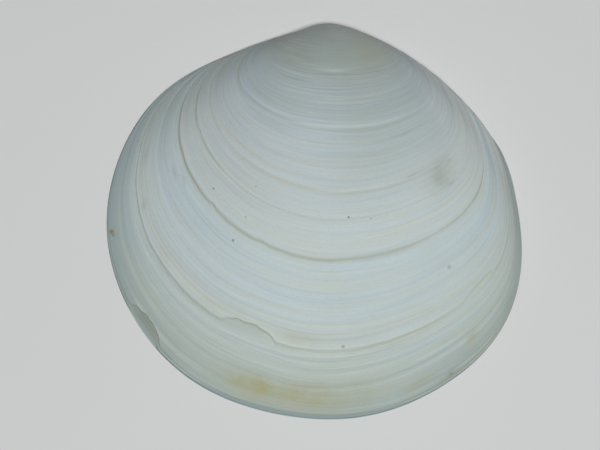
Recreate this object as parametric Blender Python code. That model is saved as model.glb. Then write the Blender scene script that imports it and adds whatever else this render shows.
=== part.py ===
# One valve of a tellin shell, outer side up, resting on its margin
#
# The valve is worked out as it grew. Its margin is a closed outline in one plane. Every
# earlier margin is that outline made smaller and turned about the hinge line through the
# beak, so one angle, the curl, says how old a growth line is: 0 at the margin, and more
# negative towards the beak. The wall fills the space between an outer and an inner outline
# in each of those planes.
#
# X runs from the front of the animal to its back, Y from the lower margin to the hinge,
# and Z out of the domed side. Everything is in metres and radians.

import math

import bmesh
import bpy
import numpy as np
from mathutils import Matrix, Vector

# Margin: radii at equal angles about its middle, from the back end round over the hinge
RIM_MIDDLE = (-0.0013, -0.0325)
RIM_RADII = (0.0339, 0.0326, 0.0280, 0.0287, 0.0314, 0.0319, 0.0342, 0.0354,
             0.0360, 0.0358, 0.0353, 0.0348, 0.0354, 0.0361, 0.0360)

# Growth: how fast the outline shrinks with the curl
GROWTH = 1.396
GROWTH_CHANGE = -0.304
TIP_CURL = -2.4

# Young shell: its outline was longer, leaned to the back, and was higher in front
YOUNG_LENGTH = 0.30
YOUNG_LEAN = -0.29
YOUNG_BACK = -0.04
YOUNG_FRONT = -0.11
HALF_LENGTH = 0.035

# Ledges: curl, height, and how far the shell takes to fill out again beyond each
LEDGES = {
    "edge": (-0.0085, 0.00024, 0.010),
    "outer": (-0.1200, 0.00040, 0.030),
    "main": (-0.2915, 0.00050, 0.045),
    "inner": (-0.3770, 0.00026, 0.030),
    "middle": (-0.4440, 0.00022, 0.030),
    "young": (-0.6150, 0.00034, 0.060),
    "first": (-0.8450, 0.00024, 0.080),
}
CLIFF = 0.0015
LIP_HEIGHT = 0.35
LIP_REACH = 0.4
FULL_REACH = 0.066

# Chips broken out of a ledge: ledge, middle and half width in degrees, and reach in curl
CHIPS = (
    ("edge", 213.8, 6.9, 0.0175),
    ("outer", 242.0, 8.7, 0.0180),
    ("outer", 320.5, 7.0, 0.0120),
    ("main", 236.0, 3.0, 0.0080),
    ("main", 213.0, 2.5, 0.0070),
)
CHIP_BLEND = 0.05

# Where the growth lines stand nearer the margin (+) or the beak (-): angle, spread, and the
# shift at the outer ledge and from the main ledge on
SHIFTS = ((math.radians(257.0), math.radians(12.0), 0.0080, 0.0090),
          (math.radians(200.0), math.radians(14.0), 0.0045, -0.0060))
FRONT_ANGLE = math.radians(187.0)
FRONT_REACH = math.radians(40.0)
FRONT_END = math.radians(100.0)
FRONT_SLOPE = 0.046

# Broad growth waves: height, and curl from one crest to the next
WAVES = ((0.00007, 0.131), (0.00006, 0.083))

# Low ridge and groove that run from the beak to the back end
FOLD_ANGLE = math.radians(350.0)
FOLD_WIDTH = math.radians(12.0)
FOLD_HEIGHT = 0.0003
GROOVE_PLACE = 1.6

# Wall, measured in the plane of an outline: first the rim, then each row up the inside, away
# from the hinge and under it
EDGE_CURLS = (0.0, -0.025, -0.07, -0.14)
EDGE_WALLS = (0.0013, 0.0017, 0.0021, 0.0024)
HINGE_WALLS = (0.0011, 0.0012, 0.0028, 0.0046)
HINGE_RECESS = 0.0011
HINGE_SPREAD = math.radians(52.0)
CAVITY_CURLS = (-0.30, -0.48, -0.66, -0.84, -1.02, -1.20)
MOST_WALL = 0.62

# Hinge teeth: place along X from the beak, length, width, and turn from the Y axis in degrees
TEETH = (("front tooth", -0.0012, 0.0024, 0.0012, -20.0),
         ("back tooth", 0.0012, 0.0024, 0.0008, 28.0))
TOOTH_MIDDLE = -0.0038
TOOTH_TIP = 0.00025
TOOTH_ROOT = 0.00155

# Grid: columns round the outline and the share drawn to the chipped lower front
COLUMNS = 69
COLUMN_PULL = 0.42
PULL_MIDDLE = math.radians(232.0)
UMBO_CURL = -1.15
UMBO_ROWS = 7
BODY_ROWS = 29
ROW_GAP = 0.014

SHELL_COLOUR = (0.58, 0.62, 0.58, 1.0)
SHELL_ROUGHNESS = 0.45


def clear_scene():
    for thing in list(bpy.data.objects):
        bpy.data.objects.remove(thing, do_unlink=True)


def rim_radius(angle):
    """Radius of the margin: the smooth wave through the equally spaced radii."""
    count = len(RIM_RADII)
    radius = np.zeros_like(angle)
    for index, value in enumerate(RIM_RADII):
        away = angle - index * math.tau / count
        waves = sum(np.cos(order * away) for order in range(1, (count + 1) // 2))
        radius = radius + value * (1.0 + 2.0 * waves) / count
    return radius


def size_at(curl):
    """Size of the outline at a curl, 1 at the margin."""
    return np.exp(GROWTH * curl + GROWTH_CHANGE * curl ** 2)


def flat_outline(angle, curl, wall):
    """Outline at a curl in its own plane: the margin's shape, stretched as the young shell's
    was, made smaller, and drawn in towards its own middle by the wall."""
    young = 1.0 - size_at(curl)
    x = RIM_MIDDLE[0] + rim_radius(angle) * np.cos(angle)
    y = RIM_MIDDLE[1] + rim_radius(angle) * np.sin(angle)
    stretch = 1.0 + young * (YOUNG_LENGTH + YOUNG_BACK * x / HALF_LENGTH)
    x_young = size_at(curl) * (x * stretch + young * YOUNG_LEAN * y)
    y_young = size_at(curl) * y * (1.0 + young * YOUNG_FRONT * x / HALF_LENGTH)
    x_middle = size_at(curl) * (RIM_MIDDLE[0] + young * YOUNG_LEAN * RIM_MIDDLE[1])
    y_middle = size_at(curl) * RIM_MIDDLE[1]
    reach = np.hypot(x_young - x_middle, y_young - y_middle)
    kept = 1.0 - np.minimum(wall / reach, MOST_WALL)
    return x_middle + kept * (x_young - x_middle), y_middle + kept * (y_young - y_middle)


def spiral_point(angle, curl, wall=0.0):
    """Point of the outline at a curl, turned about the hinge line by that curl."""
    x, y = flat_outline(angle, curl, wall)
    return np.stack([x, y * np.cos(curl), y * np.sin(curl)], axis=-1)


def outward(angle, curl):
    """Unit normal of the plain spiral, from two short steps along it."""
    step = 1e-4
    along = spiral_point(angle + step, curl) - spiral_point(angle - step, curl)
    across = spiral_point(angle, curl + step) - spiral_point(angle, curl - step)
    normal = np.cross(across, along)
    return normal / np.linalg.norm(normal, axis=-1, keepdims=True)


def smooth(low, high, value):
    t = np.clip((value - low) / (high - low), 0.0, 1.0)
    return t * t * (3.0 - 2.0 * t)


def line_curl(angle, line):
    """Curl of a growth line: it wanders a little along the outline, and steps back round the
    chips of the ledge beyond it."""
    young = smooth(LEDGES["outer"][0], LEDGES["main"][0], line)
    shift = sum((near + (far - near) * young) * np.exp(-((angle - middle) / spread) ** 2)
                for middle, spread, near, far in SHIFTS)
    front = FRONT_SLOPE * np.clip(FRONT_ANGLE - angle, 0.0, FRONT_REACH)
    shift = shift + front * smooth(FRONT_END, FRONT_END + FRONT_REACH, angle)
    curl = line + shift * smooth(0.0, -0.08, line)
    for name, middle, half, reach in CHIPS:
        ledge = LEDGES[name][0]
        t = np.clip(np.abs(angle - math.radians(middle)) / math.radians(half), 0.0, 1.0)
        share = np.clip(1.0 - (ledge - line) / CHIP_BLEND, 0.0, 1.0)
        curl = curl - np.where(line <= ledge, reach * (1.0 - t ** 2) ** 0.6 * share, 0.0)
    return curl


def relief(angle, line):
    """Height above the plain spiral: ledges, broad growth waves and the fold at the back, all
    in step with the distance from the beak, as the growth is."""
    height = np.zeros_like(line)
    for ledge, drop, fill in LEDGES.values():
        beyond = line - (ledge - CLIFF)
        sunk = np.exp(-np.clip(beyond - CLIFF, 0.0, None) / fill)
        lip = np.exp(-np.clip(-beyond, 0.0, None) / (LIP_REACH * fill))
        height = height - drop * np.clip(beyond / CLIFF, 0.0, 1.0) * sunk
        height = height + LIP_HEIGHT * drop * lip * (beyond <= 0.0)
    for crest, period in WAVES:
        height = height + crest * np.cos(math.tau * line / period)
    fold = (angle - FOLD_ANGLE + math.pi) % math.tau - math.pi
    ridge = np.exp(-(fold / FOLD_WIDTH) ** 2)
    groove = np.exp(-((fold - GROOVE_PLACE * FOLD_WIDTH) / FOLD_WIDTH) ** 2)
    height = height + FOLD_HEIGHT * (ridge - groove) * smooth(-1.2, -0.3, line)
    grown = np.linalg.norm(spiral_point(angle, line), axis=-1) / FULL_REACH
    return height * smooth(0.0, -0.004, line) * grown


def outer_lines():
    """Growth lines of the outside's rows, from the beak's tip to the margin, closer at ledges."""
    rows = [np.linspace(TIP_CURL, UMBO_CURL, UMBO_ROWS, endpoint=False)]
    body = np.linspace(UMBO_CURL, 0.0, BODY_ROWS)
    for ledge, _, _ in LEDGES.values():
        rows.append(ledge + CLIFF * np.array([-5.0, -1.0, 0.0, 1.0]))
        body = body[np.abs(body - ledge) > ROW_GAP]
    rows.append(np.append(body, [-0.004, 0.0]))
    return np.unique(np.round(np.concatenate(rows), 5))


def hinge_share(angle):
    """1 under the beak, falling to 0 where the hinge plate ends."""
    away = np.abs(angle - math.pi / 2.0)
    return smooth(HINGE_SPREAD, 0.15 * HINGE_SPREAD, away)


def inner_rows(angle):
    """Curl and wall of each row of the inside, from the rim's inner edge to the cavity's end.
    Under the beak the first rows after the rim stay at one depth and make the hinge plate."""
    hinge = hinge_share(angle)
    plate_middle = sum(HINGE_WALLS) / len(HINGE_WALLS)
    depth = np.abs(RIM_MIDDLE[1] + (rim_radius(angle) - plate_middle) * np.sin(angle))
    recess = np.arctan(HINGE_RECESS / np.maximum(depth, plate_middle)) * hinge
    rows = []
    for row, (curl, wall, hinge_wall) in enumerate(zip(EDGE_CURLS, EDGE_WALLS, HINGE_WALLS)):
        turned = curl * (1.0 - hinge)
        if row > 0:
            turned = np.minimum(turned, -recess)
        rows.append((turned, wall + (hinge_wall - wall) * hinge))
    for curl in CAVITY_CURLS:
        rows.append((np.full_like(angle, curl), rows[-1][1]))
    return rows


def column_angles(count):
    """Angles of the columns, drawn towards the chipped part of the margin."""
    even = np.linspace(0.0, math.tau, count + 1)
    return even - COLUMN_PULL * (np.sin(even - PULL_MIDDLE) + math.sin(PULL_MIDDLE))


def shell_net():
    """Rows of points from the beak's tip over the outside, round the rim and up the inside."""
    angle = column_angles(COLUMNS)
    rows = []
    for value in outer_lines():
        line = np.full_like(angle, value)
        curl = line_curl(angle % math.tau, line)
        height = relief(angle, line)
        rows.append(spiral_point(angle, curl) + outward(angle, curl) * height[:, None])
    rows.insert(0, np.broadcast_to(rows[0].mean(axis=0), rows[0].shape))
    for curl, wall in inner_rows(angle):
        rows.append(spiral_point(angle, curl, wall))
    last = rows[-1]
    middle = last[:-1].mean(axis=0)
    rows.append(middle + 0.5 * (last - middle))
    rows.append(np.broadcast_to(middle, last.shape))
    return np.array(rows)


def wrap_grid(net):
    """A flat grid carried onto the net, with its seam and its two ends welded shut."""
    down, across = net.shape[0] - 1, net.shape[1] - 1
    bm = bmesh.new()
    bmesh.ops.create_grid(bm, x_segments=across, y_segments=down, size=1.0)
    for vert in bm.verts:
        column = round((vert.co.x + 1.0) * 0.5 * across)
        row = round((vert.co.y + 1.0) * 0.5 * down)
        vert.co = Vector(net[row, column])
    bmesh.ops.remove_doubles(bm, verts=bm.verts[:], dist=1e-7)
    bmesh.ops.recalc_face_normals(bm, faces=bm.faces[:])
    return bm


def centre_of(net):
    """Middle of the valve's box, on the plane of the rim."""
    low = net.reshape(-1, 3).min(axis=0)
    high = net.reshape(-1, 3).max(axis=0)
    return Vector(((low[0] + high[0]) / 2.0, (low[1] + high[1]) / 2.0, 0.0))


def shell_material():
    material = bpy.data.materials.new("shell")
    material.use_nodes = True
    surface = material.node_tree.nodes["Principled BSDF"]
    surface.inputs["Base Color"].default_value = SHELL_COLOUR
    surface.inputs["Roughness"].default_value = SHELL_ROUGHNESS
    surface.inputs["Metallic"].default_value = 0.0
    return material


def make_tooth(name, x, length, width, turn, centre, collection):
    """A tapered ridge on the hinge plate that ends just short of the rim's plane."""
    height = TOOTH_ROOT - TOOTH_TIP
    bm = bmesh.new()
    bmesh.ops.create_cube(bm, size=1.0)
    for vert in bm.verts:
        slim = 0.65 if vert.co.z < 0.0 else 1.0
        vert.co = Vector((vert.co.x * width * slim, vert.co.y * length, vert.co.z * height))
    bmesh.ops.rotate(bm, verts=bm.verts[:], cent=(0.0, 0.0, 0.0),
                     matrix=Matrix.Rotation(math.radians(turn), 3, "Z"))
    mesh = bpy.data.meshes.new(name)
    bm.to_mesh(mesh)
    bm.free()
    tooth = bpy.data.objects.new(name.replace(" ", "_"), mesh)
    tooth.location = (x - centre.x, TOOTH_MIDDLE - centre.y, (TOOTH_TIP + TOOTH_ROOT) / 2.0)
    tooth.hide_render = True
    tooth.display_type = "WIRE"
    collection.objects.link(tooth)
    return tooth


def make_valve():
    parts = bpy.data.collections.new("tellin valve")
    helpers = bpy.data.collections.new("joined pieces")
    bpy.context.scene.collection.children.link(parts)
    bpy.context.scene.collection.children.link(helpers)

    net = shell_net()
    centre = centre_of(net)
    bm = wrap_grid(net)
    bmesh.ops.translate(bm, verts=bm.verts[:], vec=-centre)
    mesh = bpy.data.meshes.new("valve")
    bm.to_mesh(mesh)
    bm.free()
    mesh.materials.append(shell_material())
    valve = bpy.data.objects.new("valve", mesh)
    parts.objects.link(valve)
    mesh.shade_smooth()
    mesh.set_sharp_from_angle(angle=math.radians(40.0))

    for name, x, length, width, turn in TEETH:
        tooth = make_tooth(name, x, length, width, turn, centre, helpers)
        join = valve.modifiers.new(name, "BOOLEAN")
        join.operation = "UNION"
        join.solver = "EXACT"
        join.object = tooth
    return valve


clear_scene()
make_valve()
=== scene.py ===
import math

import bpy
import numpy as np
from mathutils import Matrix, Vector


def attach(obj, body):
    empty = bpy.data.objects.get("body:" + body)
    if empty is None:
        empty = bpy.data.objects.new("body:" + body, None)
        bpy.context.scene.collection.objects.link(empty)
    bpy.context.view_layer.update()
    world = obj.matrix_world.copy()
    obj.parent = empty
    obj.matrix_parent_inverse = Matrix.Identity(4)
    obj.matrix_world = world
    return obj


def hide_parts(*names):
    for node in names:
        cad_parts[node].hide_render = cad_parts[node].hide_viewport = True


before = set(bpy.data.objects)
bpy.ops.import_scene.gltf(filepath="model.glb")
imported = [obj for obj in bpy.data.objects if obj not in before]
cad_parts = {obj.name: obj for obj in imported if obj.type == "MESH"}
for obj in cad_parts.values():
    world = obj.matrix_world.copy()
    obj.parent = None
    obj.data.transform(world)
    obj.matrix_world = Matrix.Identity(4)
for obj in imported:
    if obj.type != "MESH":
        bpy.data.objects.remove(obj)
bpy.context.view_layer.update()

# Growth of the valve, in metres and radians, about the beak. The margin is an outline in one
# plane, and every earlier growth line is that outline made smaller and turned about the hinge
# line by its curl, which is 0 at the margin and more negative towards the beak.
BEAK = (0.0021, 0.0335, 0.0)
RIM_MIDDLE = (-0.0013, -0.0325)
RIM_RADII = (0.0339, 0.0326, 0.0280, 0.0287, 0.0314, 0.0319, 0.0342, 0.0354,
             0.0360, 0.0358, 0.0353, 0.0348, 0.0354, 0.0361, 0.0360)
GROWTH = 1.396
GROWTH_CHANGE = -0.304
TIP_CURL = -2.4

# Half the valve's length, and its reach from the beak to the lower margin
HALF_LENGTH = 0.035
FULL_REACH = 0.066

# How the young shell differed: it was longer, leaned to one side, and was a little longer and
# higher at the front than at the back
YOUNG_LENGTH = 0.30
YOUNG_LEAN = -0.29
YOUNG_BACK = -0.04
YOUNG_FRONT = -0.11

# Ledges: curl, height, reach of the fill beyond, and width of the cliff. A lip rises at each
# edge, by a share of the height and over a share of the reach.
LEDGES = {
    "edge": (-0.0080, 0.00014, 0.010, 0.0036),
    "outer": (-0.1165, 0.00024, 0.030, 0.0074),
    "main": (-0.2890, 0.00032, 0.045, 0.0084),
    "inner": (-0.3760, 0.00014, 0.030, 0.0050),
    "middle": (-0.4420, 0.00008, 0.030, 0.0036),
    "young": (-0.6110, 0.00016, 0.060, 0.0070),
    "first": (-0.8400, 0.00006, 0.080, 0.0160),
}
LIP_HEIGHT = 0.22
LIP_REACH = 0.25

# Where a ledge is lower: the degrees where that starts and ends, and the share lost
WEAKER = {"outer": (306, 356, 0.60)}

# Growth lines between the ledges: curl, how strong, and the degrees where each starts and ends
GROWTH_LINES = (
    (-0.0290, 0.35, 190, 330), (-0.0430, 0.70, 196, 280), (-0.0570, 1.00, 185, 330),
    (-0.0670, 0.60, 195, 312), (-0.0765, 0.40, 200, 320), (-0.0855, 0.80, 195, 300),
    (-0.0950, 0.70, 192, 325), (-0.1040, 0.35, 200, 330), (-0.1280, 0.50, 205, 300),
    (-0.1400, 0.60, 196, 318), (-0.1500, 0.90, 186, 322), (-0.1670, 0.50, 192, 310),
    (-0.1870, 1.00, 186, 258), (-0.1890, 0.90, 284, 326), (-0.2100, 0.45, 192, 245),
    (-0.2320, 0.45, 196, 232),
    (-0.2520, 0.50, 196, 238), (-0.2720, 0.40, 190, 226), (-0.3580, 0.70, 172, 226),
    (-0.4100, 0.35, 182, 250), (-0.4700, 0.70, 180, 262), (-0.4920, 0.50, 182, 222),
    (-0.5200, 0.60, 172, 216), (-0.5400, 0.45, 180, 216), (-0.5660, 0.90, 206, 312),
    (-0.5820, 0.40, 198, 300), (-0.6400, 0.40, 196, 312), (-0.6600, 0.80, 182, 318),
    (-0.6780, 0.50, 176, 300), (-0.7000, 0.45, 190, 320), (-0.7220, 0.70, 190, 322),
    (-0.7450, 0.55, 190, 322), (-0.7650, 0.50, 195, 318), (-0.7850, 0.70, 190, 322),
    (-0.8100, 0.50, 196, 320), (-0.8260, 0.60, 200, 318),
)
LINE_DEPTH = 0.00005
LINE_WIDTH = 0.0016
LINE_FADE = 9.0

# Dirt and painted shade that a growth line's groove holds, and how many times the line's width it
# has
LINE_DIRT_AND_SHADE = 0.15
LINE_DIRT_AND_SHADE_WIDTH = 1.1

# Dirt and painted shade along the ledges, darkest at their steps: curl, darkness, reach towards
# the beak and towards the margin, and the degrees where it starts, where it ends, and over which
# it fades
LEDGE_DIRT_AND_SHADE = (
    (-0.0085, 0.20, 0.0010, 0.0020, 196, 330, 10), (-0.1192, 0.17, 0.0044, 0.0064, 182, 306, 12),
    (-0.1195, 0.09, 0.0040, 0.0050, 300, 344, 10), (-0.2930, 0.38, 0.0050, 0.0084, 160, 214, 14),
    (-0.2930, 0.26, 0.0054, 0.0074, 205, 300, 14), (-0.2930, 0.17, 0.0050, 0.0064, 300, 342, 14),
    (-0.3725, 0.34, 0.0040, 0.0040, 158, 184, 8), (-0.3775, 0.31, 0.0036, 0.0040, 185, 208, 10),
    (-0.3770, 0.08, 0.0040, 0.0050, 205, 284, 14), (-0.3570, 0.16, 0.0022, 0.0022, 176, 222, 12),
    (-0.4480, 0.09, 0.0040, 0.0040, 166, 196, 10), (-0.4440, 0.20, 0.0040, 0.0050, 214, 256, 12),
    (-0.4370, 0.15, 0.0036, 0.0036, 256, 304, 14), (-0.4700, 0.06, 0.0030, 0.0030, 210, 262, 12),
    (-0.5190, 0.08, 0.0040, 0.0040, 172, 216, 10), (-0.5050, 0.06, 0.0050, 0.0050, 218, 292, 14),
    (-0.6050, 0.25, 0.0090, 0.0090, 158, 196, 12), (-0.6180, 0.20, 0.0040, 0.0070, 192, 236, 10),
    (-0.6100, 0.14, 0.0040, 0.0060, 232, 314, 10), (-0.6600, 0.09, 0.0060, 0.0060, 196, 312, 14),
    (-0.6780, 0.06, 0.0040, 0.0040, 230, 300, 14), (-0.7900, 0.08, 0.0100, 0.0120, 196, 240, 12),
    (-0.7800, 0.09, 0.0050, 0.0060, 240, 276, 12), (-0.8480, 0.10, 0.0120, 0.0120, 196, 246, 14),
    (-0.8450, 0.18, 0.0070, 0.0070, 240, 276, 12), (-0.8430, 0.09, 0.0100, 0.0100, 270, 304, 12),
)

# Painted highlights beside them, bright bands where the ledges' lips would catch the light, given
# in the same way
PAINTED_HIGHLIGHTS = (
    (-0.1270, 0.10, 0.0040, 0.0022, 190, 316, 12), (-0.1310, 0.22, 0.0070, 0.0050, 200, 238, 10),
    (-0.3040, 0.14, 0.0060, 0.0050, 166, 232, 14), (-0.3880, 0.14, 0.0040, 0.0040, 166, 204, 10),
    (-0.3660, 0.12, 0.0030, 0.0030, 170, 206, 10), (-0.4540, 0.16, 0.0050, 0.0050, 218, 256, 12),
    (-0.4460, 0.12, 0.0030, 0.0030, 260, 302, 12), (-0.5490, 0.12, 0.0030, 0.0030, 250, 284, 10),
    (-0.6300, 0.20, 0.0040, 0.0040, 192, 232, 12), (-0.6210, 0.27, 0.0030, 0.0030, 236, 306, 12),
    (-0.8640, 0.36, 0.0090, 0.0080, 248, 268, 10), (-0.8200, 0.16, 0.0080, 0.0080, 200, 240, 14),
)

# Ochre stains and grey smudges: degrees, curl, half widths in degrees and in curl, and strength
STAINS = (
    (251.0, -0.040, 11.0, 0.020, 0.82), (263.0, -0.041, 21.0, 0.025, 0.60),
    (258.0, -0.138, 7.0, 0.012, 0.25), (315.5, -0.048, 2.2, 0.007, 0.60),
    (226.0, -0.136, 12.0, 0.011, 0.18), (206.0, -0.134, 4.0, 0.010, 0.18),
    (313.0, -0.420, 8.0, 0.034, 0.12), (297.0, -0.028, 4.0, 0.008, 0.40),
    (300.0, -1.000, 24.0, 0.130, 0.22),
)
SMUDGES = (
    (307.8, -0.0145, 1.5, 0.006, 0.42), (314.0, -0.405, 8.0, 0.036, 0.30),
    (318.0, -0.375, 3.0, 0.006, 0.35), (313.0, -0.433, 3.0, 0.005, 0.40),
    (321.0, -0.428, 2.0, 0.004, 0.30), (172.5, -0.155, 3.0, 0.008, 0.26),
    (226.0, -0.791, 11.0, 0.006, 0.26), (300.0, -0.446, 6.0, 0.0028, 0.34),
    (300.0, -0.564, 6.0, 0.0030, 0.28), (223.0, -0.990, 9.0, 0.040, 0.14),
    (188.5, -0.138, 1.2, 0.010, 0.30), (190.0, -0.250, 2.5, 0.007, 0.25),
    (196.0, -0.268, 2.0, 0.005, 0.25),
)

# Chips broken out of a ledge: ledge, middle and half width in degrees, reach in curl, how much
# deeper than the ledge its floor lies, and how dark the floor is, with its own grey and painted
# shade under the wall
CHIPS = (
    ("edge", 213.8, 6.9, 0.0180, 0.00026, 0.50),
    ("outer", 242.0, 8.7, 0.0180, 0.00002, 0.16),
    ("outer", 320.5, 7.0, 0.0120, 0.00000, 0.00),
    ("main", 236.0, 2.0, 0.0032, 0.00000, 0.00),
    ("main", 213.0, 1.6, 0.0034, 0.00000, 0.00),
)

# Power that rounds a chip, how uneven its reach is, and the curls behind and beyond the ledge
# over which the break dies out
CHIP_SHAPE = 0.6
CHIP_UNEVEN = 0.13
CHIP_BLEND = 0.05
CHIP_FLOOR = 0.006

# Where a chip's floor is fully darkened by its grey and painted shade: shares of the ledge's cliff
# and of the floor's width
FLOOR_START = 0.40
FLOOR_STOP = 0.35

# Small raggedness of a ledge's edge: ledge, how far it strays in curl, and how far it reaches,
# and its waves as share, turns and start
RAGGED = (("outer", 0.0014, 0.005), ("main", 0.0008, 0.006), ("young", 0.0007, 0.008))
RAGGED_WAVES = ((0.40, 37.0, 0.7), (0.35, 71.0, 2.1), (0.25, 113.0, 4.0))

# Where the growth lines stand nearer the margin (+) or the beak (-): degrees, and the shift in
# curl at the outer ledge and at the main ledge
WANDER = (
    (140, 0.0000, 0.0000), (160, 0.0000, -0.0030), (170, -0.0010, -0.0058), (180, 0.0042, -0.0053),
    (190, 0.0056, -0.0042), (200, 0.0041, -0.0053), (212, 0.0017, -0.0037), (226, 0.0016, 0.0014),
    (240, 0.0005, 0.0060), (250, 0.0036, 0.0109), (257, 0.0070, 0.0127), (264, 0.0071, 0.0112),
    (272, 0.0047, 0.0074), (281, -0.0001, 0.0053), (291, -0.0038, 0.0042), (303, -0.0040, 0.0042),
    (314, -0.0036, 0.0049), (323, -0.0014, 0.0051), (334, 0.0048, 0.0069), (350, 0.0027, 0.0065),
    (380, 0.0000, 0.0000),
)

# Curls at which the wander is full past the margin, starts to fade and has ended
WANDER_START = -0.08
WANDER_FADE = -0.38
WANDER_END = -0.62

# Slope of the growth lines at the front: where it starts, how far it goes on rising, where it
# has ended, and how steep it is, in curl for each radian
FRONT_ANGLE = math.radians(187.0)
FRONT_REACH = math.radians(40.0)
FRONT_END = math.radians(100.0)
FRONT_SLOPE = 0.046

# Broad growth waves and finer ones: height, curl from crest to crest, and the waver and its turns
WAVES = ((0.00007, 0.131, 0.0, 1), (0.00006, 0.083, 0.0, 1), (0.00002, 0.0374, 0.9, 2),
         (0.000018, 0.0237, 0.8, 3))

# Curl at which the relief, which is level at the margin, has its full height
RELIEF_START = -0.004

# Fold at the back, the curls between which it grows to its full height, and how far beside it
# its groove lies, in widths
FOLD_ANGLE = math.radians(350.0)
FOLD_WIDTH = math.radians(12.0)
FOLD_HEIGHT = 0.0003
FOLD_GROWTH = (-1.2, -0.3)
GROOVE_PLACE = 1.6

# Wall in the plane of an outline, up the inside away from the hinge and under it
EDGE_CURLS = (0.0, -0.025, -0.07, -0.14)
EDGE_WALLS = (0.0013, 0.0017, 0.0021, 0.0024)
HINGE_WALLS = (0.0011, 0.0012, 0.0028, 0.0046)

# Hinge plate: how far it is sunk, how far round it goes, and the share of that where it is whole
HINGE_RECESS = 0.0011
HINGE_SPREAD = math.radians(52.0)
HINGE_FULL = 0.15

# Curl where the cavity ends, the rings that close it, as shares of its last row, the greatest
# share of the outline that the wall takes, and the radius of the rounded rim and its turns
CAVITY_END = -1.20
CLOSING = (0.8, 0.6, 0.4, 0.2)
MOST_WALL = 0.62
RIM_ROUND = 0.00022
RIM_TURNS = (0.0, 22.5, 45.0, 67.5, 90.0)

# Hinge teeth: place along X from the beak, length, width, and turn from the Y axis in degrees.
# The shares of the width and the length are those where a tooth ends and where it is whole.
TEETH = ((-0.0012, 0.0024, 0.0012, -20.0), (0.0012, 0.0024, 0.0008, 28.0))
TOOTH_MIDDLE = -0.0036
TOOTH_TIP = 0.00025
TOOTH_SIDES = (0.62, 0.30)
TOOTH_ENDS = (0.50, 0.30)

# Grid: columns round the outline from the seam, drawn to the hinge and the chips by degrees,
# spread and strength, and rows along the growth
SEAM = math.pi / 2.0
COLUMNS = 228
CROWDED = ((90.0, 7.0, 5.0), (213.8, 9.0, 1.4), (242.0, 11.0, 1.4), (320.5, 9.0, 0.9))
OUTER_ROWS = 352
INNER_ROWS = 44
PLATE_ROWS = 22
FINE_STEPS = 20000

# How close the outer rows stand: by a power of the outline's size, and more at the ledges and
# at the growth lines, over a reach in their widths
ROW_POWER = 0.55
LEDGE_ROWS = 4.0
LINE_ROWS = 0.7
ROW_REACH = 1.6

# Pits in the outside: degrees round, curl, radius, and how dark. The floor is a share of it.
PITS = (
    (226.2, -0.265, 0.00030, 0.8), (308.7, -0.2065, 0.00046, 0.5), (271.9, -0.1227, 0.00034, 0.6),
    (209.5, -0.328, 0.00020, 0.8), (227.2, -0.324, 0.00016, 0.5), (268.2, -0.3735, 0.00020, 1.0),
    (277.6, -0.3675, 0.00016, 0.8), (226.5, -0.399, 0.00015, 0.5), (307.8, -0.014, 0.00026, 0.5),
    (257.0, -0.041, 0.00020, 0.5),
)
PIT_FLOOR = 0.35

# Rusty spot near the margin at the front, given in the same way
RUST = ((186.3, -0.0185, 0.00062, 0.9), (187.6, -0.0230, 0.00040, 0.7))

# Colours of the outside along the growth, from the margin to the beak: age, which is the curl
# turned positive, and colour. The dark colours nearest the margin are partly the thin edge's own
# bluish grey and partly painted shade.
AGE_COLOURS_AND_SHADE = (
    (0.000, (0.40, 0.43, 0.39)),
    (0.024, (0.45, 0.48, 0.45)),
    (0.052, (0.61, 0.64, 0.61)),
    (0.090, (0.70, 0.73, 0.71)),
    (0.116, (0.73, 0.75, 0.73)),
    (0.124, (0.77, 0.78, 0.75)),
    (0.150, (0.76, 0.77, 0.75)),
    (0.195, (0.74, 0.78, 0.81)),
    (0.275, (0.73, 0.77, 0.79)),
    (0.297, (0.75, 0.76, 0.75)),
    (0.330, (0.75, 0.76, 0.75)),
    (0.410, (0.74, 0.74, 0.74)),
    (0.500, (0.71, 0.72, 0.74)),
    (0.590, (0.69, 0.72, 0.76)),
    (0.640, (0.61, 0.65, 0.71)),
    (0.760, (0.55, 0.60, 0.66)),
    (0.810, (0.53, 0.57, 0.61)),
    (0.900, (0.41, 0.45, 0.43)),
    (1.400, (0.38, 0.40, 0.40)),
)
OLDEST = 1.5

# How far the streaks stray across the growth
WAVER = 0.006

# Marks of the inside: middle and reach of the two muscle scars and of the bay in the line
# where the mantle was fastened, and that line's age
FRONT_SCAR = ((-0.0215, 0.0065), (0.0034, 0.0062))
BACK_SCAR = ((0.0235, 0.0050), (0.0042, 0.0052))
SINUS = ((0.0095, -0.0050), (0.0165, 0.0080))
PALLIAL = 0.155

# Camera: the point it looks at, its distance, and its turns, in metres and degrees
TARGET = (-0.00245, -0.00175, 0.0050)
CAMERA_DISTANCE = 0.49526
CAMERA_TILT = 11.84
CAMERA_YAW = -1.19
CAMERA_LENS = 177.9
SENSOR = 36.0

# Lights: name, direction from the valve, diameter, power and colour
LIGHTS = (("key", (0.07, -0.26, 0.96), 0.24, 5.45, (0.89, 1.0, 1.01)),
          ("top", (-0.15, 0.80, 0.80), 0.20, 0.4, (1.0, 1.0, 1.0)))
LIGHT_DISTANCE = 0.9
SKY_COLOUR = (0.90, 0.94, 1.0)
SKY_STRENGTH = 0.03
FLOOR_REACH = 6.0


def smooth(low, high, value):
    """Smooth step: 0 at low, 1 at high, level at both."""
    t = np.clip((value - low) / (high - low), 0.0, 1.0)
    return t * t * (3.0 - 2.0 * t)


def rim_radius(angle):
    """Radius of the margin: each radius times the sum of the cosine waves that are 1 at its
    angle and 0 at the others."""
    count = len(RIM_RADII)
    radius = np.zeros_like(angle)
    for index, value in enumerate(RIM_RADII):
        away = angle - index * math.tau / count
        waves = sum(np.cos(order * away) for order in range(1, (count + 1) // 2))
        radius = radius + value * (1.0 + 2.0 * waves) / count
    return radius


def size_at(curl):
    """Size of the outline: e to the power of growth times curl plus a little curl squared."""
    return np.exp(GROWTH * curl + GROWTH_CHANGE * curl ** 2)


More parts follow.
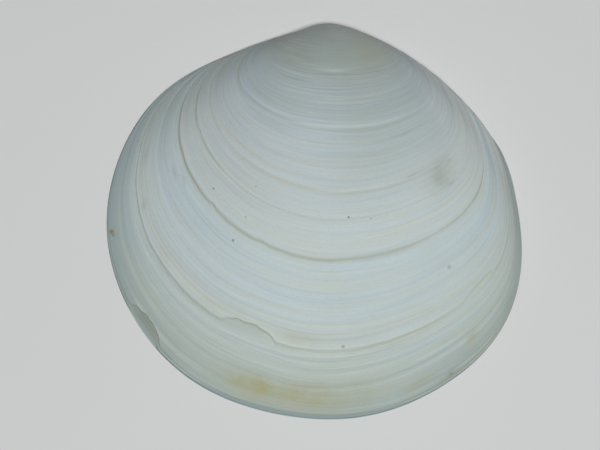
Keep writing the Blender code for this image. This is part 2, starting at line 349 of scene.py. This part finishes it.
def spiral_point(angle, curl, wall=0.0):
    """Point of the outline at a curl: the margin's point, stretched as the young shell was,
    times the size there, drawn in by the wall towards the outline's middle, and turned about
    the hinge line by the curl."""
    young = 1.0 - size_at(curl)
    x = RIM_MIDDLE[0] + rim_radius(angle) * np.cos(angle)
    y = RIM_MIDDLE[1] + rim_radius(angle) * np.sin(angle)
    stretch = 1.0 + young * (YOUNG_LENGTH + YOUNG_BACK * x / HALF_LENGTH)
    x_young = size_at(curl) * (x * stretch + young * YOUNG_LEAN * y)
    y_young = size_at(curl) * y * (1.0 + young * YOUNG_FRONT * x / HALF_LENGTH)
    x_middle = size_at(curl) * (RIM_MIDDLE[0] + young * YOUNG_LEAN * RIM_MIDDLE[1])
    y_middle = size_at(curl) * RIM_MIDDLE[1]
    reach = np.hypot(x_young - x_middle, y_young - y_middle)
    kept = 1.0 - np.minimum(wall / reach, MOST_WALL)
    x_flat = x_middle + kept * (x_young - x_middle)
    y_flat = y_middle + kept * (y_young - y_middle)
    return np.stack([x_flat, y_flat * np.cos(curl), y_flat * np.sin(curl)], axis=-1)


def outward(angle, curl):
    """Unit normal of the plain spiral: the cross product of a short step across the growth
    lines and one along them."""
    step = 1e-4
    along = spiral_point(angle + step, curl) - spiral_point(angle - step, curl)
    across = spiral_point(angle, curl + step) - spiral_point(angle, curl - step)
    normal = np.cross(across, along)
    return normal / np.linalg.norm(normal, axis=-1, keepdims=True)


def ragged(angle):
    """Small uneven waver round the outline, between -1 and 1: three sine waves added up."""
    return sum(share * np.sin(turns * angle + start) for share, turns, start in RAGGED_WAVES)


def chip_share(angle, middle, half):
    """How far into a chip an angle is: 1 at its middle, 0 at its two ends, and between them one
    minus the square of the way out, to a power."""
    t = np.clip(np.abs(angle - math.radians(middle)) / math.radians(half), 0.0, 1.0)
    return (1.0 - t ** 2) ** CHIP_SHAPE


def moved_line(angle, line):
    """Growth line that shows at a line of the grid. The grid follows a ledge's ragged edge and
    its chips, while the growth pattern runs on as it grew: the line plus the raggedness near
    the ledge, minus the chip's reach where a chip breaks in beyond it."""
    moved = line
    for name, stray, reach in RAGGED:
        bell = np.exp(-((line - LEDGES[name][0]) / reach) ** 2)
        moved = moved + stray * ragged(angle * (1.0 + LEDGES[name][0])) * bell
    for name, middle, half, reach, _, _ in CHIPS:
        ledge = LEDGES[name][0]
        older = np.clip(1.0 - (ledge - line) / CHIP_BLEND, 0.0, 1.0)
        younger = np.clip(1.0 - (line - ledge) / CHIP_FLOOR, 0.0, 1.0)
        share = np.where(line <= ledge, older, younger)
        uneven = 1.0 + CHIP_UNEVEN * ragged(angle)
        moved = moved - reach * chip_share(angle, middle, half) * uneven * share
    return moved


def line_curl(angle, line):
    """Curl of a line of the grid: its growth line plus the wander round the outline, read off
    between the measured places, and the slope at the front."""
    degrees, near, far = np.array(WANDER).T
    young = smooth(LEDGES["outer"][0], LEDGES["main"][0], line)
    at_outer = np.interp(np.degrees(angle), degrees, near)
    at_main = np.interp(np.degrees(angle), degrees, far)
    front = FRONT_SLOPE * np.clip(FRONT_ANGLE - angle, 0.0, FRONT_REACH)
    front = front * smooth(FRONT_END, FRONT_END + FRONT_REACH, angle)
    shift = at_outer + (at_main - at_outer) * young + front
    lasting = smooth(0.0, WANDER_START, line) * smooth(WANDER_END, WANDER_FADE, line)
    return moved_line(angle, line) + shift * lasting


def ledge_height(line, ledge, drop, fill, cliff):
    """Height at a ledge: the lip rises towards its edge as an exponential, a smooth step falls
    by the drop over the cliff, and the shell fills out again beyond as another exponential."""
    beyond = line - (ledge - cliff)
    fallen = smooth(0.0, cliff, beyond)
    sunk = np.exp(-np.clip(beyond - cliff, 0.0, None) / fill)
    lip = np.exp(-np.clip(-beyond, 0.0, None) / (LIP_REACH * fill))
    return drop * (LIP_HEIGHT * lip * (1.0 - fallen) - fallen * sunk)


def line_strength(angle, start, end, fade=LINE_FADE):
    """How strong a growth line is at an angle: 1 between its two ends, fading past them."""
    degrees = np.degrees(angle)
    return smooth(start - fade, start + fade, degrees) * smooth(end + fade, end - fade, degrees)


def relief(angle, line):
    """Height above the plain spiral: ledges, lower where they are weaker, chips' floors, growth
    lines as narrow bell-shaped grooves, waves as cosines of the curl, and the fold at the back
    as two bells side by side, all in step with the distance from the beak."""
    height = np.zeros_like(line)
    grown_line = moved_line(angle, line)
    for name, (ledge, drop, fill, cliff) in LEDGES.items():
        start, end, loss = WEAKER.get(name, (0, 0, 0.0))
        share = 1.0 - loss * line_strength(angle, start, end)
        height = height + share * ledge_height(line, ledge, drop, fill, cliff)
    for name, middle, half, _, deeper, _ in CHIPS:
        ledge, _, fill, cliff = LEDGES[name]
        floor = smooth(ledge - cliff, ledge, line) * smooth(ledge + fill, ledge, line)
        height = height - deeper * chip_share(angle, middle, half) * floor
    for place, strength, start, end in GROWTH_LINES:
        groove = np.exp(-((grown_line - place) / LINE_WIDTH) ** 2)
        height = height - LINE_DEPTH * strength * groove * line_strength(angle, start, end)
    for crest, period, waver, turns in WAVES:
        phase = math.tau * grown_line / period + waver * np.sin(turns * angle)
        height = height + crest * np.cos(phase)
    fold = (angle - FOLD_ANGLE + math.pi) % math.tau - math.pi
    ridge = np.exp(-(fold / FOLD_WIDTH) ** 2)
    groove = np.exp(-((fold - GROOVE_PLACE * FOLD_WIDTH) / FOLD_WIDTH) ** 2)
    height = height + FOLD_HEIGHT * (ridge - groove) * smooth(*FOLD_GROWTH, line)
    grown = np.linalg.norm(spiral_point(angle, line), axis=-1) / FULL_REACH
    return height * smooth(0.0, RELIEF_START, line) * grown


def soil(angle, line):
    """How much the outside is darkened by soiling and by painted shade at the ledges' steps and in
    the growth lines' grooves, 0 to 1: each line of it is a bell across the growth, with a reach of
    its own on each side, and each growth line holds a narrow faint one."""
    dark = np.zeros_like(line)
    for place, strength, older, younger, start, end, fade in LEDGE_DIRT_AND_SHADE:
        reach = np.where(line < place, older, younger)
        bell = np.exp(-((line - place) / reach) ** 2)
        dark = np.maximum(dark, strength * bell * line_strength(angle, start, end, fade))
    grown_line = moved_line(angle, line)
    for place, strength, start, end in GROWTH_LINES:
        narrow = np.exp(-((grown_line - place) / (LINE_DIRT_AND_SHADE_WIDTH * LINE_WIDTH)) ** 2)
        faint = LINE_DIRT_AND_SHADE * strength * narrow
        dark = np.maximum(dark, faint * line_strength(angle, start, end))
    return dark


def crests(angle, line):
    """Painted highlight beside the ledges, where their lips would catch the light, 0 to 1, as
    bells like those of the soiling and painted shade.
    """
    bright = np.zeros_like(line)
    for place, strength, older, younger, start, end, fade in PAINTED_HIGHLIGHTS:
        reach = np.where(line < place, older, younger)
        bell = np.exp(-((line - place) / reach) ** 2)
        bright = np.maximum(bright, strength * bell * line_strength(angle, start, end, fade))
    return bright


def spots(angle, line, places):
    """How strongly spots mark the outside, 0 to 1: the greatest of their two-way bells."""
    mark = np.zeros_like(line)
    for degrees, curl, wide, high, strength in places:
        away = ((np.degrees(angle) - degrees) / wide) ** 2 + ((line - curl) / high) ** 2
        mark = np.maximum(mark, strength * np.exp(-away))
    return mark


def chip_floor_shade(angle, line):
    """How dark a chip's floor is, its own grey and painted shade under the chip's wall: its grey
    times one smooth step up from the ledge's cliff and one down to where the whole shell starts
    again."""
    floor = np.zeros_like(line)
    for name, middle, half, _, _, grey in CHIPS:
        if grey > 0.0:
            ledge, _, _, cliff = LEDGES[name]
            within = smooth(ledge - cliff, ledge - FLOOR_START * cliff, line)
            within = within * smooth(ledge + CHIP_FLOOR, ledge + FLOOR_STOP * CHIP_FLOOR, line)
            floor = np.maximum(floor, grey * within * chip_share(angle, middle, half))
    return floor


def spread_by(density, low, high, count):
    """Count + 1 values from low to high, close together where the density is high: the equal
    steps of the density's running sum."""
    fine = np.linspace(low, high, FINE_STEPS)
    weight = density(fine)
    total = np.concatenate([[0.0], np.cumsum((weight[1:] + weight[:-1]) / 2.0)])
    return np.interp(np.linspace(0.0, total[-1], count + 1), total, fine)


def column_angles():
    """Angles of the columns, from the hinge right round to it again."""
    def density(angle):
        crowd = np.ones_like(angle)
        for middle, spread, extra in CROWDED:
            away = (angle - math.radians(middle) + math.pi) % math.tau - math.pi
            crowd = crowd + extra * np.exp(-(away / math.radians(spread)) ** 2)
        return crowd
    return spread_by(density, SEAM, SEAM + math.tau, COLUMNS)


def outer_lines():
    """Growth lines of the outside's rows, from the beak's tip to the margin."""
    def density(line):
        crowd = size_at(line) ** ROW_POWER
        for ledge, _, _, cliff in LEDGES.values():
            away = (line - ledge + 0.5 * cliff) / (ROW_REACH * cliff)
            crowd = crowd + LEDGE_ROWS * np.exp(-away ** 2)
        for place, _, _, _ in GROWTH_LINES:
            away = (line - place) / (ROW_REACH * LINE_WIDTH)
            crowd = crowd + LINE_ROWS * np.exp(-away ** 2)
        return crowd
    return spread_by(density, TIP_CURL, 0.0, OUTER_ROWS)


def outer_rows(angle):
    """Outside: the spiral's point plus its normal times the relief, for every growth line."""
    angle, line = np.meshgrid(angle, outer_lines()[:-1])
    curl = line_curl(angle, line)
    points = spiral_point(angle, curl) + outward(angle, curl) * relief(angle, line)[..., None]
    return points, angle, line


def rim_rows(angle):
    """Rim: a quarter circle that rolls the outside over onto the flat land under it."""
    rows = []
    reach = np.abs(spiral_point(angle, np.zeros_like(angle))[:, 1])
    for turn in np.radians(RIM_TURNS):
        lift = RIM_ROUND * (1.0 - math.sin(turn))
        curl = -np.arctan(lift / np.maximum(reach, RIM_ROUND))
        rows.append(spiral_point(angle, curl, RIM_ROUND * (1.0 - math.cos(turn))))
    return np.array(rows)


def hinge_share(angle):
    """1 under the beak, falling by a smooth step to 0 where the hinge plate ends."""
    away = np.abs(angle % math.tau - math.pi / 2.0)
    return smooth(HINGE_SPREAD, HINGE_FULL * HINGE_SPREAD, away)


def tooth_height(points):
    """Share of the hinge teeth's height, 0 to 1: for each tooth, one smooth step down across its
    width times one along its length."""
    height = np.zeros(points.shape[:-1])
    for place, length, width, turn in TEETH:
        x = points[..., 0] - place
        y = points[..., 1] - TOOTH_MIDDLE
        c, s = math.cos(math.radians(turn)), math.sin(math.radians(turn))
        across = np.abs(c * x + s * y)
        along = np.abs(c * y - s * x)
        foot, crown = (share * width for share in TOOTH_SIDES)
        end, level = (share * length for share in TOOTH_ENDS)
        height = np.maximum(height, smooth(foot, crown, across) * smooth(end, level, along))
    return height


def inner_rows(angle):
    """Inside: the outline drawn in by a wall that thickens away from the rim, and under the
    beak a sunk plate with the teeth, then the cavity up to its end, closed by rings."""
    hinge = hinge_share(angle)
    mean_wall = sum(HINGE_WALLS) / len(HINGE_WALLS)
    depth = np.abs(RIM_MIDDLE[1] + (rim_radius(angle) - mean_wall) * np.sin(angle))
    recess = np.arctan(HINGE_RECESS / np.maximum(depth, mean_wall)) * hinge
    rows = []
    ages = []
    for step in np.linspace(0.0, 3.0, PLATE_ROWS):
        curl = np.interp(step, range(4), EDGE_CURLS)
        wall = np.interp(step, range(4), EDGE_WALLS)
        hinge_wall = np.interp(step, range(4), HINGE_WALLS)
        turned = curl * (1.0 - hinge)
        turned = turned + (np.minimum(turned, -recess) - turned) * smooth(0.0, 1.0, step)
        row = spiral_point(angle, turned, wall + (hinge_wall - wall) * hinge)
        row[:, 2] -= tooth_height(row) * np.maximum(row[:, 2] - TOOTH_TIP, 0.0)
        rows.append(row)
        ages.append(np.full_like(angle, curl))
    wall = EDGE_WALLS[-1] + (HINGE_WALLS[-1] - EDGE_WALLS[-1]) * hinge
    start = ages[-1] * (1.0 - hinge) - recess
    for share in np.linspace(0.0, 1.0, INNER_ROWS + 1)[1:]:
        curl = start + (CAVITY_END - start) * share
        rows.append(spiral_point(angle, curl, wall))
        ages.append(curl)
    last = rows[-1]
    middle = last.mean(axis=0)
    for share in CLOSING:
        rows.append(middle + share * (last - middle))
        ages.append(ages[-1])
    return np.array(rows), np.array(ages), middle


def closed_faces(rows, columns):
    """Quads between neighbouring rows, wrapped round, and a fan of triangles at each end. Each
    face comes with its column numbers, where the seam's last one is the count of columns."""
    row, column = np.meshgrid(np.arange(rows - 1), np.arange(columns), indexing="ij")
    following = (column + 1) % columns
    quads = np.stack([row * columns + column, (row + 1) * columns + column,
                      (row + 1) * columns + following, row * columns + following], axis=-1)
    turns = np.stack([column, column, column + 1, column + 1], axis=-1)
    tip = rows * columns
    around = np.arange(columns)
    after = (around + 1) % columns
    start = np.stack([np.full(columns, tip), around, after], axis=-1)
    last = (rows - 1) * columns
    end = np.stack([np.full(columns, tip + 1), last + after, last + around], axis=-1)
    fan = np.stack([around, around, around + 1], axis=-1)
    end_fan = np.stack([around, around + 1, around], axis=-1)
    return quads.reshape(-1, 4), turns.reshape(-1, 4), (start, end), (fan, end_fan)


def add_growth_map(mesh, around, turn, line):
    """Growth map, for each corner of a face: the share of a turn round the outline, and the age
    of the growth line, which is its curl turned positive."""
    corner = np.zeros(len(mesh.loops), dtype=np.int32)
    mesh.loops.foreach_get("vertex_index", corner)
    layer = mesh.uv_layers.new(name="growth")
    layer.data.foreach_set("uv", np.stack([around[turn], -line[corner]], axis=-1).ravel())


def add_masks(mesh, angle, line, rim_count, inner_count):
    """Masks, one value a point: each mark's share on the outside and 0 elsewhere, and one that
    is 1 on the inside alone."""
    angle = angle % math.tau
    angle = np.where(angle < SEAM, angle + math.tau, angle)
    marks = {
        # Dirt together with painted shade at the ledges' steps and in the growth lines' grooves
        "soil": soil(angle, line),
        # crest: painted highlights beside the ledges' lips
        "crest": crests(angle, line),
        "stain": spots(angle, line, STAINS),
        "smudge": spots(angle, line, SMUDGES),
        # chip: painted shade on the chips' floors, with their own grey
        "chip": chip_floor_shade(angle, line),
        "inside": np.zeros_like(line),
    }
    rim = np.zeros((rim_count, line.shape[1]))
    for name, outer in marks.items():
        inner = np.full((inner_count, line.shape[1]), float(name == "inside"))
        values = np.concatenate([outer, rim, inner])
        layer = mesh.attributes.new(name, "FLOAT", "POINT")
        layer.data.foreach_set("value", np.append(values.ravel(), values[[0, -1], 0]))


def make_valve():
    """The whole valve as one closed mesh, with its growth map and its masks."""
    angle = column_angles()
    outside, outer_angle, outer_line = outer_rows(angle[:-1])
    rim = rim_rows(angle[:-1])
    inside, inner_age, end = inner_rows(angle[:-1])
    tip = outside[0].mean(axis=0)
    rows = np.concatenate([outside[1:], rim, inside])
    count, columns = rows.shape[:2]
    points = np.concatenate([rows.reshape(-1, 3), [tip, end]]) + np.array(BEAK)

    quads, turns, fans, fan_turns = closed_faces(count, columns)
    faces = quads.tolist() + fans[0].tolist() + fans[1].tolist()
    mesh = bpy.data.meshes.new("valve_shell")
    mesh.from_pydata(points.tolist(), [], faces)
    mesh.shade_smooth()

    grown_line = moved_line(outer_angle, outer_line)
    line = np.concatenate([grown_line[1:], np.zeros((len(rim), columns)), inner_age])
    line = np.append(line.ravel(), [TIP_CURL, CAVITY_END])
    turn = np.concatenate([turns.ravel(), fan_turns[0].ravel(), fan_turns[1].ravel()])
    add_growth_map(mesh, (angle - SEAM) / math.tau, turn, line)
    add_masks(mesh, outer_angle[1:], outer_line[1:], len(rim), len(inside))

    valve = bpy.data.objects.new("valve_shell", mesh)
    bpy.context.scene.collection.objects.link(valve)
    return valve


class Wire:
    """One output of a node. Arithmetic on it adds Math nodes to the same material."""

    def __init__(self, socket):
        self.socket = socket

    def math(self, operation, *values):
        """Math node that takes the values in their order."""
        tree = self.socket.node.id_data
        return add(tree, "ShaderNodeMath", {"operation": operation}, dict(enumerate(values)))

    def __add__(self, other):
        return self.math("ADD", self, other)

    def __sub__(self, other):
        return self.math("SUBTRACT", self, other)

    def __mul__(self, other):
        return self.math("MULTIPLY", self, other)

    def __truediv__(self, other):
        return self.math("DIVIDE", self, other)

    def __rsub__(self, other):
        return self.math("SUBTRACT", other, self)

    __radd__ = __add__
    __rmul__ = __mul__

    def least(self, other):
        """The lesser of the two."""
        return self.math("MINIMUM", self, other)

    def most(self, other):
        """The greater of the two."""
        return self.math("MAXIMUM", self, other)

    def root(self):
        """Square root."""
        return self.math("SQRT", self)

    def apart(self, other):
        """Distance from the other, either way."""
        return self.math("ABSOLUTE", self - other)

    def between(self, low, high):
        """Smooth step of this value: 0 at low and 1 at high, where low may be the greater."""
        tree = self.socket.node.id_data
        start, end = (0.0, 1.0) if low < high else (1.0, 0.0)
        inputs = {"Value": self, "From Min": min(low, high), "From Max": max(low, high),
                  "To Min": start, "To Max": end}
        return add(tree, "ShaderNodeMapRange", {"interpolation_type": "SMOOTHSTEP"}, inputs)


def add(tree, kind, settings, inputs, output=0):
    """Adds a node, makes its settings first and then its inputs, and returns one output."""
    node = tree.nodes.new(kind)
    for name, value in settings.items():
        if name == "stops":
            set_stops(node.color_ramp, value)
        else:
            setattr(node, name, value)
    for name, value in inputs.items():
        if isinstance(value, Wire):
            tree.links.new(value.socket, node.inputs[name])
        else:
            node.inputs[name].default_value = value
    return Wire(node.outputs[output])


def set_stops(ramp, stops):
    """Gives a colour ramp its places and colours."""
    while len(ramp.elements) < len(stops):
        ramp.elements.new(1.0)
    for element, (place, colour) in zip(ramp.elements, stops):
        element.position = place
        element.color = (*colour, 1.0)


def mix(tree, share, first, second, name=""):
    """Colour between two colours: the first at a share of 0, the second at 1."""
    def filled(colour):
        return colour if isinstance(colour, Wire) else (*colour, 1.0)
    settings = {"data_type": "RGBA", "clamp_factor": True, "label": name}
    inputs = {0: share, 6: filled(first), 7: filled(second)}
    return add(tree, "ShaderNodeMix", settings, inputs, output=2)


def layered(tree, colour, layers):
    """Colour with each layer's own colour mixed over it in turn, by the layer's share."""
    for name, (share, own) in layers.items():
        colour = mix(tree, share, colour, own, name)
    return colour


def noise(tree, vector, scale, detail=2.0, roughness=0.5):
    """Noise between 0 and 1, with so many lumps to the metre."""
    inputs = {"Vector": vector, "Scale": scale, "Detail": detail, "Roughness": roughness}
    return add(tree, "ShaderNodeTexNoise", {}, inputs)


def part_of(tree, vector, output):
    """One number of a vector: 0 is the first."""
    return add(tree, "ShaderNodeSeparateXYZ", {}, {0: vector}, output=output)


def attribute(tree, name):
    """One of the valve's masks."""
    return add(tree, "ShaderNodeAttribute", {"attribute_name": name}, {}, output=2)


def new_material(name):
    """New material, with its nodes and its main shader."""
    material = bpy.data.materials.new(name)
    material.use_nodes = True
    tree = material.node_tree
    return material, tree, tree.nodes["Principled BSDF"]


def pit_mask(tree, place, uneven, pits):
    """How dark the pits are, 0 to 1: for each, its darkness times a smooth step down over the
    distance from its middle, made uneven. The greatest one counts."""
    mask = None
    for degrees, curl, radius, darkness in pits:
        angle = np.array([math.radians(degrees)])
        point = spiral_point(angle, np.array([curl]))[0] + np.array(BEAK)
        settings = {"operation": "DISTANCE"}
        away = add(tree, "ShaderNodeVectorMath", settings, {0: place, 1: point}, output=1)
        spot = (away * uneven).between(radius, PIT_FLOOR * radius) * darkness
        mask = spot if mask is None else mask.most(spot)
    return mask


def grown_noise(tree, around, age, turns, lines, detail=2.0):
    """Noise drawn out along the growth lines, with so many lumps in a turn round the outline
    and so many in one radian of age."""
    vector = add(tree, "ShaderNodeCombineXYZ", {}, {0: around * turns, 1: age * lines})
    return noise(tree, vector, 1.0, detail)


def outside_finish(tree, place, around, age, patches, clouds, speckle):
    """Chalky outside: colour, roughness and height, from bands and streaks along the growth, areas
    that differ, and the marks, among them painted shade on the flank, at the margin, along the
    ledges and in the chips, and painted highlights beside the ledges."""
    wavering = age + WAVER * noise(tree, place, 90.0, 2.0)
    streaks = grown_noise(tree, around, wavering, 7.0, 120.0, 4.0)
    threads = grown_noise(tree, around, wavering, 12.0, 420.0, 2.0)
    bands = grown_noise(tree, around, wavering, 5.0, 60.0, 3.0)
    blots = noise(tree, place, 420.0, 4.0, 0.65).between(0.28, 0.72)
    pits = pit_mask(tree, place, 0.6 + 0.8 * speckle, PITS)
    rust = pit_mask(tree, place, 0.4 + 1.2 * speckle, RUST)

    # Areas, by the share of a turn round from the hinge, past the front, and by age
    # Painted shade on the flank, standing in for the shade where it turns away from the light
    flank = around.between(0.28, 0.17)
    calm = around.between(0.36, 0.24)
    front_edge = around.between(0.35, 0.27) * age.between(0.105, 0.080)
    back_edge = around.between(0.64, 0.71) * age.between(0.060, 0.040)
    smooth_edge = front_edge.most(back_edge)
    lower = around.between(0.34, 0.42) * around.between(0.62, 0.54)
    lower_edge = lower * age.between(0.11, 0.03)
    grey_back = around.between(0.43, 0.52) * around.between(0.68, 0.63) * age.between(0.36, 0.56)
    umbo = age.between(0.80, 0.90)
    # Bluish band along the margin: partly the thin edge's own colour, partly painted shade
    wide = 0.0042 + 0.0046 * around.between(0.38, 0.43) * around.between(0.60, 0.53)
    margin = (age / wide).between(1.15, 0.80)
    lip = age.between(0.0020, 0.0008)

    # How clear the streaks and threads are: clearest near the margin, then at the front
    clear = (0.65 * age.between(0.135, 0.110)).most(0.35 * around.between(0.42, 0.34))
    clear = 0.55 + clear.most(0.30 * age.between(0.42, 0.52))
    clear = clear * (1.0 - 0.75 * smooth_edge) * (1.0 - 0.55 * umbo) * (1.0 - 0.5 * calm)
    dark_streaks = streaks.between(0.45, 0.75) * clouds * clear
    pale_streaks = streaks.between(0.50, 0.25) * patches * clear
    warm_bands = bands.between(0.40, 0.70) * patches * (0.75 - 0.30 * calm)
    stain = attribute(tree, "stain") * (0.32 + 0.60 * blots + 0.64 * streaks)

    stops = [(value / OLDEST, own) for value, own in AGE_COLOURS_AND_SHADE]
    colour = add(tree, "ShaderNodeValToRGB", {"stops": stops}, {0: age / OLDEST})
    colour = layered(tree, colour, {
        "warm bands": (warm_bands, (0.76, 0.73, 0.62)),
        "cool bands": (bands.between(0.60, 0.32) * clouds * 0.50, (0.63, 0.71, 0.76)),
        "dark streaks": (dark_streaks * 0.80, (0.53, 0.55, 0.52)),
        "pale streaks": (pale_streaks * 0.60, (0.89, 0.90, 0.89)),
        "threads": (threads.between(0.45, 0.75) * clear * 0.26, (0.46, 0.48, 0.44)),
        "clouds": (clouds.between(0.48, 0.70) * 0.28, (0.65, 0.66, 0.58)),
        "speckle": (speckle.between(0.50, 0.78) * 0.18, (0.53, 0.54, 0.50)),
        # Painted shade on the flank
        "flank": (flank * 0.55, (0.37, 0.42, 0.41)),
        "smooth edge": (smooth_edge * 0.38, (0.42, 0.49, 0.52)),
        "grey back": (grey_back * 0.40, (0.52, 0.54, 0.51)),
        "lower edge": (lower_edge * 0.22, (0.76, 0.79, 0.76)),
        # Painted highlights beside the ledges
        "crests": (attribute(tree, "crest"), (0.95, 0.96, 0.95)),
        "stains": (stain, (0.54, 0.47, 0.23)),
        "smudges": (attribute(tree, "smudge") * (0.7 + 0.6 * blots), (0.34, 0.34, 0.27)),
        # Dirt together with painted shade along the ledges and in the growth lines
        "dirt": (attribute(tree, "soil") * (0.6 + 0.8 * clouds), (0.36, 0.32, 0.12)),
        "rust": (rust * 0.75, (0.33, 0.20, 0.08)),
        # Painted shade on the chips' floors, with their own grey
        "chips": (attribute(tree, "chip"), (0.22, 0.23, 0.17)),
        # The margin band: the thin edge's own bluish colour with painted shade
        "margin": (margin * 0.60, (0.30, 0.38, 0.40)),
        "lip": (lip * 0.70, (0.66, 0.70, 0.67)),
        "pits": (pits * 0.52, (0.17, 0.15, 0.10)),
    })
    rough = 0.62 - 0.14 * umbo + 0.10 * speckle
    height = (streaks * 0.00010 + threads * 0.00003 + bands * 0.00004) * clear
    height = height + speckle * 0.000022 - pits * 0.00020
    return colour, rough, height


def lining_finish(tree, place, around, age, patches, clouds):
    """Glossy inside: colour, roughness and height, with fine rays, the two muscle scars, and
    the line with its bay where the mantle was fastened."""
    across = part_of(tree, place, 0)
    up = part_of(tree, place, 1)

    def oval(middle, reach):
        """Distance from the middle of an oval, as a share of its reach each way."""
        x = (across - middle[0]) / reach[0]
        y = (up - middle[1]) / reach[1]
        return (x * x + y * y).root() * (0.94 + 0.12 * patches)

    rays = grown_noise(tree, around, age, 150.0, 5.0)
    scars = oval(*FRONT_SCAR).least(oval(*BACK_SCAR))
    scar = scars.between(1.05, 0.95)
    sinus = oval(*SINUS)
    bay = sinus.apart(1.0).between(0.035, 0.0)
    bay = bay * scars.between(1.0, 1.05) * across.between(0.022, 0.014)
    track = age.apart(PALLIAL).between(0.008, 0.0)
    track = track * sinus.between(0.98, 1.02) * up.between(0.012, 0.004)
    mantle_line = track.most(bay)

    colour = mix(tree, clouds.between(0.35, 0.70), (0.76, 0.78, 0.74), (0.79, 0.77, 0.66))
    colour = layered(tree, colour, {
        "rim": (age.between(PALLIAL, 0.0) * 0.60, (0.66, 0.71, 0.69)),
        "rays": (rays.between(0.50, 0.75) * 0.16, (0.60, 0.62, 0.57)),
        "mantle line": (mantle_line * 0.50, (0.52, 0.54, 0.47)),
        "scars": (scar * 0.35, (0.60, 0.59, 0.50)),
        "edges of the scars": (scars.apart(1.0).between(0.10, 0.0) * 0.40, (0.46, 0.46, 0.38)),
    })
    rough = 0.24 + 0.14 * scar + 0.10 * patches
    height = rays * 0.00003 - scar * 0.00006 - mantle_line * 0.00005
    return colour, rough, height


def shell_finish():
    """The outside's finish and, where the mask says inside, the lining's."""
    material, tree, surface = new_material("shell")
    place = add(tree, "ShaderNodeTexCoord", {}, {}, output="Object")
    growth = add(tree, "ShaderNodeUVMap", {"uv_map": "growth"}, {})
    around = part_of(tree, growth, 0)
    age = part_of(tree, growth, 1)
    patches = noise(tree, place, 140.0, 3.0)
    clouds = noise(tree, place, 45.0, 4.0, 0.6)
    speckle = noise(tree, place, 2600.0, 2.0)
    outside = outside_finish(tree, place, around, age, patches, clouds, speckle)
    lining = lining_finish(tree, place, around, age, patches, clouds)
    inside = attribute(tree, "inside")
    colour = mix(tree, inside, outside[0], lining[0])
    rough = outside[1] * (1.0 - inside) + lining[1] * inside
    height = outside[2] * (1.0 - inside) + lining[2] * inside
    normal = add(tree, "ShaderNodeBump", {}, {"Height": height, "Distance": 1.0, "Strength": 1.0})
    for name, value in {"Base Color": colour, "Roughness": rough, "Normal": normal}.items():
        tree.links.new(value.socket, surface.inputs[name])
    surface.inputs["Specular IOR Level"].default_value = 0.35
    surface.inputs["Subsurface Weight"].default_value = 0.12
    surface.inputs["Subsurface Radius"].default_value = (1.0, 0.9, 0.8)
    surface.inputs["Subsurface Scale"].default_value = 0.0012
    return material


def floor_finish():
    """Plain pale paper-like surface."""
    material, tree, surface = new_material("floor")
    place = add(tree, "ShaderNodeTexCoord", {}, {}, output="Object")
    tone = noise(tree, place, 6.0, 2.0).between(0.2, 0.8)
    colour = mix(tree, tone, (0.90, 0.82, 0.81), (0.92, 0.84, 0.83))
    tree.links.new(colour.socket, surface.inputs["Base Color"])
    surface.inputs["Roughness"].default_value = 0.9
    surface.inputs["Specular IOR Level"].default_value = 0.1
    return material


def make_floor():
    """Plain floor under the valve: one square."""
    mesh = bpy.data.meshes.new("floor")
    sides = ((-1, -1), (1, -1), (1, 1), (-1, 1))
    corners = [(x * FLOOR_REACH, y * FLOOR_REACH, 0.0) for x, y in sides]
    mesh.from_pydata(corners, [], [(0, 1, 2, 3)])
    mesh.materials.append(floor_finish())
    floor = bpy.data.objects.new("floor", mesh)
    bpy.context.scene.collection.objects.link(floor)


def make_camera():
    """Camera that looks down on the valve, tilted a little towards its lower margin."""
    tilt, yaw = math.radians(CAMERA_TILT), math.radians(CAMERA_YAW)
    back = Vector((math.sin(yaw), -math.sin(tilt) * math.cos(yaw), math.cos(tilt) * math.cos(yaw)))
    data = bpy.data.cameras.new("camera")
    data.lens = CAMERA_LENS
    data.sensor_width = SENSOR
    data.clip_start = 0.01
    camera = bpy.data.objects.new("camera", data)
    right = Vector((0.0, 1.0, 0.0)).cross(back).normalized()
    axes = Matrix((right, back.cross(right), back)).transposed()
    camera.location = Vector(TARGET) + back * CAMERA_DISTANCE
    camera.rotation_euler = axes.to_euler()
    bpy.context.scene.collection.objects.link(camera)
    bpy.context.scene.camera = camera


def make_lights():
    """Round soft lights that face the valve, and a faint even light from all round."""
    for name, direction, size, power, colour in LIGHTS:
        data = bpy.data.lights.new(name, "AREA")
        data.shape = "DISK"
        data.size = size
        data.energy = power
        data.color = colour
        light = bpy.data.objects.new(name, data)
        towards = Vector(direction).normalized()
        light.location = towards * LIGHT_DISTANCE
        light.rotation_euler = towards.to_track_quat("Z", "Y").to_euler()
        bpy.context.scene.collection.objects.link(light)
    world = bpy.data.worlds.new("studio")
    world.use_nodes = True
    background = world.node_tree.nodes["Background"]
    background.inputs["Color"].default_value = (*SKY_COLOUR, 1.0)
    background.inputs["Strength"].default_value = SKY_STRENGTH
    bpy.context.scene.world = world
    bpy.context.scene.view_settings.view_transform = "Standard"


valve = make_valve()
valve.data.materials.append(shell_finish())
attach(valve, "root")
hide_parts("valve")
make_floor()
make_camera()
make_lights()
